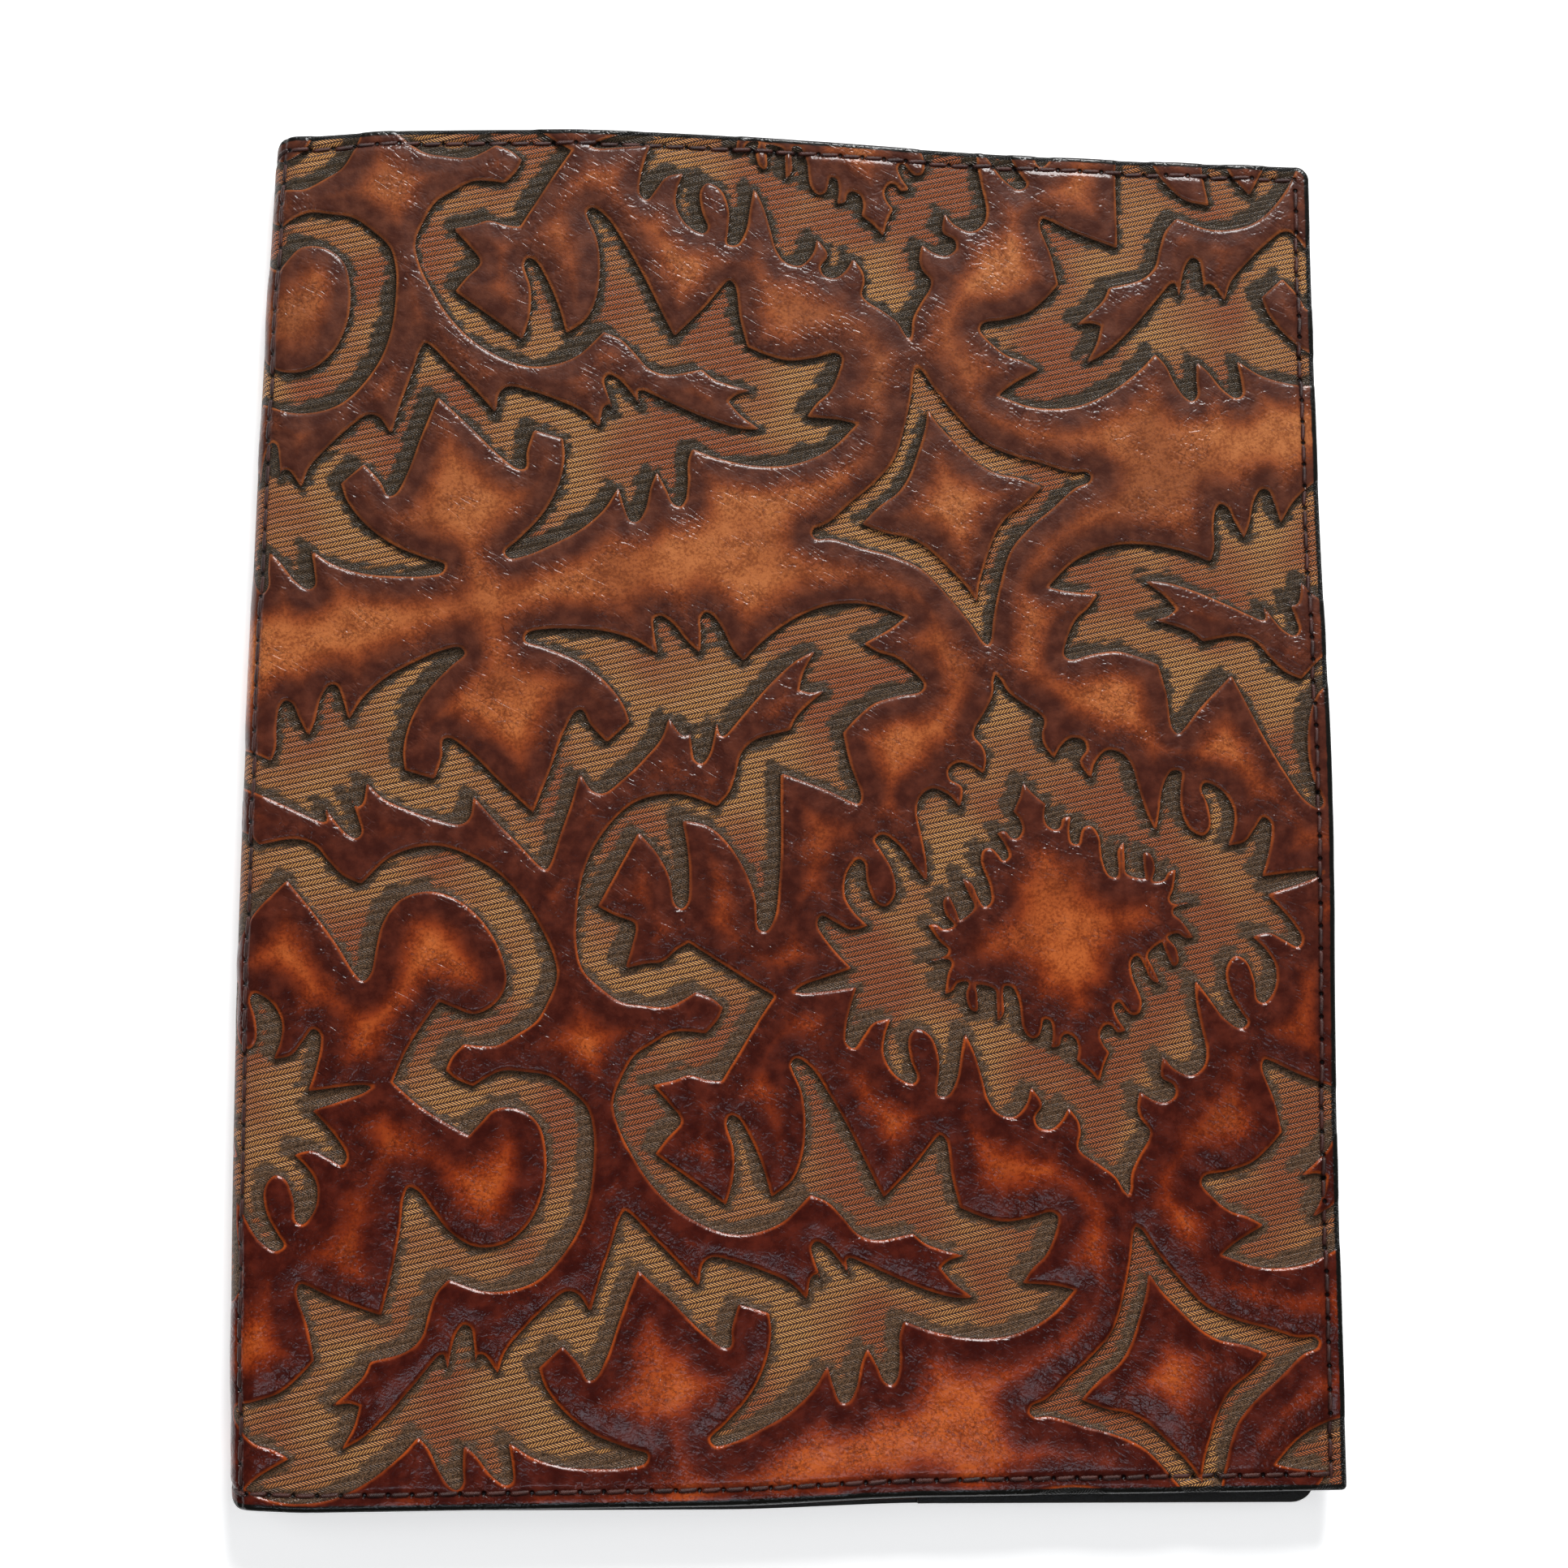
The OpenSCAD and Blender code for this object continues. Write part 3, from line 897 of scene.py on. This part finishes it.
def hide_fields(look):
    """The places, distances and noises that the hide's colours and its fine relief are made from."""
    f = SimpleNamespace()
    f.u, f.v, page = look.split(look.stored("hide_place").outputs["Vector"])
    f.recess, f.edge, f.seam = look.split(look.stored("hide_edge").outputs["Vector"])
    f.run = look.stored("hide_seam").outputs["Fac"]
    f.rub = look.stored("hide_rub").outputs["Fac"]
    f.flat = look.join(f.u, f.v)
    f.cloud = look.noise(f.flat, 0.03, 2.0)
    f.soft = look.noise(f.flat, 0.10, 2.0, 0.5)
    f.blotch = look.noise(f.flat, 0.28, 4.0, 0.6)
    f.speck = look.noise(f.flat, 1.6, 4.0, 0.65)
    f.grain = look.noise(f.flat, 4.5, 3.0, 0.6)
    f.wrinkle = look.thin_lines(f.flat, 0.42, 5.0)
    f.drift = look.less(f.soft, 0.5)
    f.wobble = look.less(f.blotch, 0.5)
    # 0 at the bottom of the page and 1 at its top. The colour pairs paint a sheen towards the top and shade
    # towards the bottom.
    f.worn = look.ramp(page, -90.0, 80.0)
    f.pressed = look.ramp(f.recess, -0.1, 0.2)
    f.ridge = herringbone(look, f.u, f.v)
    return f


def raised_colour(look, f):
    """Raised leather: a dark rim, an amber centre, dark creases, and a rubbed lip over each wall."""
    rim = look.ramp(f.blotch, 0.32, 0.78, 0.1, 0.6)
    # The rim, amber, glow and lip colours shift up the page: paler at the top as a painted sheen, darker at
    # the bottom as painted shade.
    rim = look.mix(rim, look.mix(f.worn, *RIM_DARK), look.mix(f.worn, *RIM_LIGHT))
    mottle = look.ramp(look.weighted((f.speck, 0.6), (f.blotch, 0.4)), 0.40, 0.58)
    amber = look.mix(mottle, look.mix(f.worn, *AMBER_DARK), look.mix(f.worn, *AMBER_LIGHT))
    inside = look.weighted((f.drift, 5.5), (f.wobble, 0.8), (f.recess, -1.0))
    inside = look.add(inside, look.ramp(f.worn, 0.0, 1.0, -0.9, 0.4))
    centre = look.times(look.ramp(inside, 2.3, 7.2), look.ramp(f.cloud, 0.34, 0.52, 0.5, 1.0))
    base = look.mix(centre, rim, amber)
    glow = look.times(look.ramp(inside, 5.0, 9.0), look.ramp(f.cloud, 0.4, 0.6, 0.3, 0.9))
    glow = look.times(glow, look.add(look.times(mottle, 0.7), 0.3))
    base = look.mix(glow, base, look.mix(f.worn, *AMBER_GLOW))
    crease = look.times(look.ramp(f.wrinkle, 0.0, 0.035, 1.0, 0.0), look.ramp(f.soft, 0.42, 0.62))
    base = look.mix(look.times(crease, 0.5), base, CREASE)
    lip = look.ramp(look.add(f.recess, look.times(f.wobble, 0.6)), -0.6, 0.0)
    lip = look.times(lip, look.ramp(f.soft, 0.38, 0.62, 0.35, 0.9))
    return look.mix(lip, base, look.mix(f.worn, *LIP))


def pressed_colour(look, f):
    """Pressed areas: ridges rubbed tan away from the walls, and speckled margins, darkest at the walls."""
    row_noise = look.noise(look.join(look.times(f.u, 0.16), look.math("FLOOR", f.v)), 1.0, 2.0)
    inward = look.add(f.rub, look.times(look.less(row_noise, 0.5), 6.0))
    inward = look.add(inward, look.times(f.drift, 2.5))
    rubbed = look.ramp(inward, 0.9, 1.8)
    tan = look.mix(look.ramp(f.cloud, 0.38, 0.60), TAN_BRIGHT, TAN_DULL)
    tan = look.mix(look.ramp(f.speck, 0.40, 0.75, 0.0, 0.45), tan, TAN_SPOT)
    ground = look.mix(look.ramp(f.speck, 0.3, 0.7), GROUND_DARK, GROUND_LIGHT)
    speckle = look.ramp(look.weighted((f.grain, 0.6), (f.speck, 0.4)), 0.38, 0.64)
    # The margins' colours also shift from the bottom of the page to its top, darker at the top.
    margin = look.mix(speckle, look.mix(f.worn, *MARGIN_DARK), look.mix(f.worn, *MARGIN_LIGHT))
    base = look.mix(rubbed, margin, ground)
    base = look.mix(look.times(look.ramp(f.ridge, 0.26, 0.56), rubbed), base, tan)
    return look.mix(look.ramp(f.recess, 0.05, 0.75, 0.6, 0.0), base, WALL_SHADE)


def needle_holes(look, f):
    """1 in the needle holes along the seam."""
    around = look.math("FRACT", look.add(look.times(f.run, 1 / STITCH_PITCH), 0.5))
    along = look.times(look.less(around, 0.5), STITCH_PITCH)
    distance = look.math("SQRT", look.add(look.times(along, along), look.times(f.seam, f.seam)))
    return look.ramp(distance, 0.25, 0.6, 1.0, 0.0)


def hide_relief(look, f, holes):
    """Fine relief in mm: wrinkles and scratches on raised leather, ridges and grain in pressed areas."""
    patchy = look.ramp(f.soft, 0.42, 0.58, 0.15, 1.0)
    fold = look.times(look.ramp(look.thin_lines(f.flat, 0.30, 2.0), 0.0, 0.08), 0.05)
    fine = look.times(look.ramp(look.thin_lines(f.flat, 0.75, 1.0), 0.0, 0.12), 0.012)
    slanted = look.join(look.add(f.u, f.v), look.times(look.less(f.u, f.v), 0.22))
    scratch = look.times(look.ramp(look.thin_lines(slanted, 0.35, 1.0), 0.0, 0.05), 0.03)
    skin = look.add(look.times(look.add(fold, scratch), patchy), fine)
    weave = look.weighted((f.ridge, 0.15), (f.grain, 0.06))
    height = look.blend(f.pressed, skin, weave)
    return look.less(height, look.times(holes, 0.35))


def hide_material():
    """Embossed leather, glossier towards the bottom of the page and darker there with painted shade."""
    look = Shader("embossed_hide")
    f = hide_fields(look)
    holes = needle_holes(look, f)
    base = look.mix(f.pressed, raised_colour(look, f), pressed_colour(look, f))
    base = look.mix(look.ramp(f.seam, 0.3, 1.0, 0.4, 0.0), base, FURROW_SHADE)
    base = look.mix(holes, base, HOLE_SHADE)
    paint = edge_paint(look, f.edge, f.wobble, 1.0)
    base = look.mix(paint, base, look.mix(f.speck, colour(9, 9, 9), colour(26, 25, 21)))
    rough_raised = look.add(look.ramp(f.blotch, 0.3, 0.7, 0.20, 0.32), look.times(f.worn, 0.16))
    rough_pressed = look.ramp(f.grain, 0.2, 0.8, 0.46, 0.66)
    roughness = look.blend(f.pressed, rough_raised, rough_pressed)
    height = hide_relief(look, f, holes)
    return look.finish(base, roughness, height, coat=0.36, coat_roughness=0.16, specular=0.12)


def smooth_leather(name, dark, light, pore, paint_width):
    """Plain fine-grained leather with painted cut edges, for the parts that face the notebook."""
    look = Shader(name)
    u, v, _ = look.split(look.stored("hide_place").outputs["Vector"])
    _, edge, seam = look.split(look.stored("hide_edge").outputs["Vector"])
    flat = look.join(u, v)
    blotch = look.noise(flat, 0.12, 4.0, 0.6)
    speck = look.noise(flat, 2.2, 3.0, 0.6)
    cells = look.cracks(flat, pore)
    base = look.mix(look.ramp(blotch, 0.3, 0.7), dark, light)
    base = look.mix(look.ramp(cells, 0.0, 0.15, 0.45, 0.0), base, colour(24, 14, 11))
    base = look.mix(look.ramp(speck, 0.45, 0.8, 0.0, 0.25), base, light)
    # Painted shade along the seam's groove, where the stitches shade the leather.
    base = look.mix(look.ramp(seam, 0.2, 0.8, 0.4, 0.0), base, colour(22, 13, 11))
    paint = edge_paint(look, edge, look.less(blotch, 0.5), paint_width)
    base = look.mix(paint, base, look.mix(speck, colour(17, 17, 17), colour(44, 42, 38)))
    roughness = look.ramp(speck, 0.2, 0.8, 0.42, 0.6)
    height = look.times(look.ramp(cells, 0.0, 0.25), 0.03)
    height = look.add(height, look.times(speck, 0.05))
    return look.finish(base, roughness, height, coat=0.1, coat_roughness=0.35, specular=0.4)


def thread_material():
    """Waxed two-ply thread, with painted shade where it dives into a needle hole."""
    look = Shader("waxed_thread")
    along, turn, end = look.split(look.stored("thread_place").outputs["Vector"])
    fibre = look.noise(look.join(look.times(along, 0.7), look.times(turn, 2.5)), 2.0, 4.0)
    patch = look.noise(look.join(along, turn), 0.25, 2.0)
    base = look.mix(look.ramp(patch, 0.3, 0.7), colour(40, 15, 12), colour(76, 34, 25))
    base = look.mix(look.ramp(fibre, 0.5, 0.8, 0.0, 0.4), base, colour(120, 68, 48))
    # Painted shade where the thread dives into a needle hole.
    base = look.mix(look.ramp(end, 0.72, 1.0, 0.0, 0.85), base, colour(16, 8, 8))
    ply = look.add(look.times(along, 2 * math.pi * TWIST / STITCH_LENGTH), turn)
    height = look.times(look.math("SINE", look.times(ply, 5.0)), 0.02)
    height = look.add(height, look.times(fibre, 0.06))
    roughness = look.ramp(fibre, 0.2, 0.8, 0.4, 0.62)
    return look.finish(base, roughness, height, coat=0.15, coat_roughness=0.3, specular=0.5)


def board_material():
    """Grey pressed fibre board."""
    look = Shader("fibre_board")
    at = look.node("ShaderNodeTexCoord").outputs["Object"]
    fibre = look.noise(at, 900.0, 5.0, 0.7)
    base = look.mix(fibre, colour(92, 86, 78), colour(150, 142, 128))
    return look.finish(base, look.ramp(fibre, 0.3, 0.7, 0.7, 0.9), look.times(fibre, 0.05))


def paint_with(piece, material):
    """Gives a piece its one material."""
    piece.data.materials.clear()
    piece.data.materials.append(material)
    return piece


# ------ the pieces


def bend(piece, side):
    """Bakes a piece's placement into its mesh."""
    if side == BACK:
        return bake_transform(piece)
    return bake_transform(piece)


def dress(piece, material, slot, *nodes):
    """Paints a piece and hides the CAD nodes that it replaces. The slot is not used."""
    paint_with(piece, material)
    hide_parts(*nodes)
    return piece


def build_side(side, body, hide, lining, pocket, thread):
    """All the pieces of one half of the cover. The front half also stands in for the spine's nodes."""
    def spine(*nodes):
        return nodes if side == FRONT else ()

    piece = build_hide(side, body + "_hide")
    dress(piece, hide, "outer_leather", body + "_leather", *spine("spine_leather"))
    bend(piece, side)

    piece = build_lining(side, body + "_lining_sheet")
    dress(piece, lining, "lining", body + "_lining", *spine("spine_lining"))
    middle = (RIGHT[side] - FOLD_X) / 2
    wide = right_edge(side, 0) + LINING_FOLD * FOLD_HALF
    high = top_edge(side, middle) - low_edge(side, middle)
    bend(piece, side)

    piece = build_pocket(side, body + "_pocket_sheet")
    dress(piece, pocket, "pocket", body + "_pocket", body + "_pocket_margin")
    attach(piece, body)

    for row, rows, depth_of, outward, shared in (
        ("outer", stitch_rows(side), hide_depth, -1, spine("spine_thread")),
        ("inner", stitch_rows(side), inner_face_depth, 1, ()),
        ("hem", hem_rows(side), pocket_face, 1, ()),
    ):
        piece = build_stitches(f"{body}_{row}_stitches", side, rows, depth_of, outward)
        dress(piece, thread, "thread", f"{body}_{row}_thread", *shared)
        if row == "hem":
            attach(piece, body)
        else:
            bend(piece, side)


def build_cover():
    """Both halves of the cover, and the material of the boards, which are carried over from the CAD."""
    hide = hide_material()
    lining = smooth_leather("lining_leather", colour(62, 38, 28), colour(88, 56, 40), 1.6, 0.5)
    pocket = smooth_leather("pocket_leather", colour(72, 42, 30), colour(104, 64, 44), 1.3, 2.7)
    thread = thread_material()
    board = board_material()
    for side, body in ((FRONT, "front"), (BACK, "back")):
        build_side(side, body, hide, lining, pocket, thread)
        paint_with(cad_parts[body + "_board"], board)


# ------ floor, light and camera


FLOOR_GLOW = 0.5  # keeps the paper-white floor white where the cover shades it


def floor_material():
    """Paper white, with a slight glow of its own."""
    look = Shader("studio_floor")
    at = look.node("ShaderNodeTexCoord").outputs["Object"]
    cloud = look.noise(at, 3.0, 2.0)
    base = look.mix(cloud, colour(250, 250, 250), colour(253, 253, 253))
    look.surface.inputs["Emission Color"].default_value = (1, 1, 1, 1)
    look.surface.inputs["Emission Strength"].default_value = FLOOR_GLOW
    return look.finish(base, 0.9, look.times(cloud, 0.0), specular=0.1)


def build_floor():
    """A pale sheet that the cover lies on."""
    half = 3.0
    mesh = bpy.data.meshes.new("studio_floor")
    corners = [(-half, -half, 0), (half, -half, 0), (half, half, 0), (-half, half, 0)]
    mesh.from_pydata(corners, [], [(0, 1, 2, 3)])
    floor = bpy.data.objects.new("studio_floor", mesh)
    bpy.context.scene.collection.objects.link(floor)
    paint_with(floor, floor_material())
    floor.location.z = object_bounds()[0][2]


def add_light(name, location, size, power, tint=(1, 1, 1), narrow=None, reflects=True):
    """A soft light that faces the cover: a square one, or one that is narrow the other way."""
    data = bpy.data.lights.new(name, "AREA")
    data.shape = "RECTANGLE"
    data.size = size
    data.size_y = narrow or size
    data.energy = power
    data.color = tint
    light = bpy.data.objects.new(name, data)
    light.location = location
    light.visible_glossy = reflects
    light.rotation_euler = (-light.location).to_track_quat("-Z", "Y").to_euler()
    bpy.context.scene.collection.objects.link(light)


def build_lights():
    """A low key light beyond the top edge, weak fills without reflections, and a cool strip for glints."""
    add_light("key_light", (0.30, 1.45, 1.05), 0.6, 36)
    add_light("left_light", (-1.3, 0.2, 1.0), 0.9, 5, reflects=False)
    add_light("right_light", (1.3, 0.0, 1.1), 0.9, 4, reflects=False)
    add_light("low_light", (-0.1, -1.4, 1.0), 1.0, 3, reflects=False)
    add_light("sky_light", (0.05, -0.32, 1.2), 0.7, 1.2, (0.80, 0.87, 1.0), narrow=0.08)
    world = bpy.data.worlds.new("studio_world")
    world.use_nodes = True
    background = world.node_tree.nodes["Background"]
    background.inputs[0].default_value = (1, 1, 1, 1)
    background.inputs[1].default_value = 0.06
    bpy.context.scene.world = world
    bpy.context.scene.view_settings.view_transform = "Standard"


CAMERA_PLACE = (-0.04358, -0.09092, 0.56276)  # metres
CAMERA_TURN = (9.698, -4.419, 0.116)  # degrees
CAMERA_LENS = 67.08
CAMERA_SENSOR = 36.0


def build_camera():
    """A camera a little left of and below the middle of the cover, as the picture was taken."""
    data = bpy.data.cameras.new("camera")
    data.sensor_width = CAMERA_SENSOR
    data.lens = CAMERA_LENS
    data.clip_start = 0.01
    camera = bpy.data.objects.new("camera", data)
    camera.location = CAMERA_PLACE
    camera.rotation_euler = [math.radians(angle) for angle in CAMERA_TURN]
    bpy.context.scene.collection.objects.link(camera)
    bpy.context.scene.camera = camera


build_camera()
build_lights()
build_cover()
build_floor()
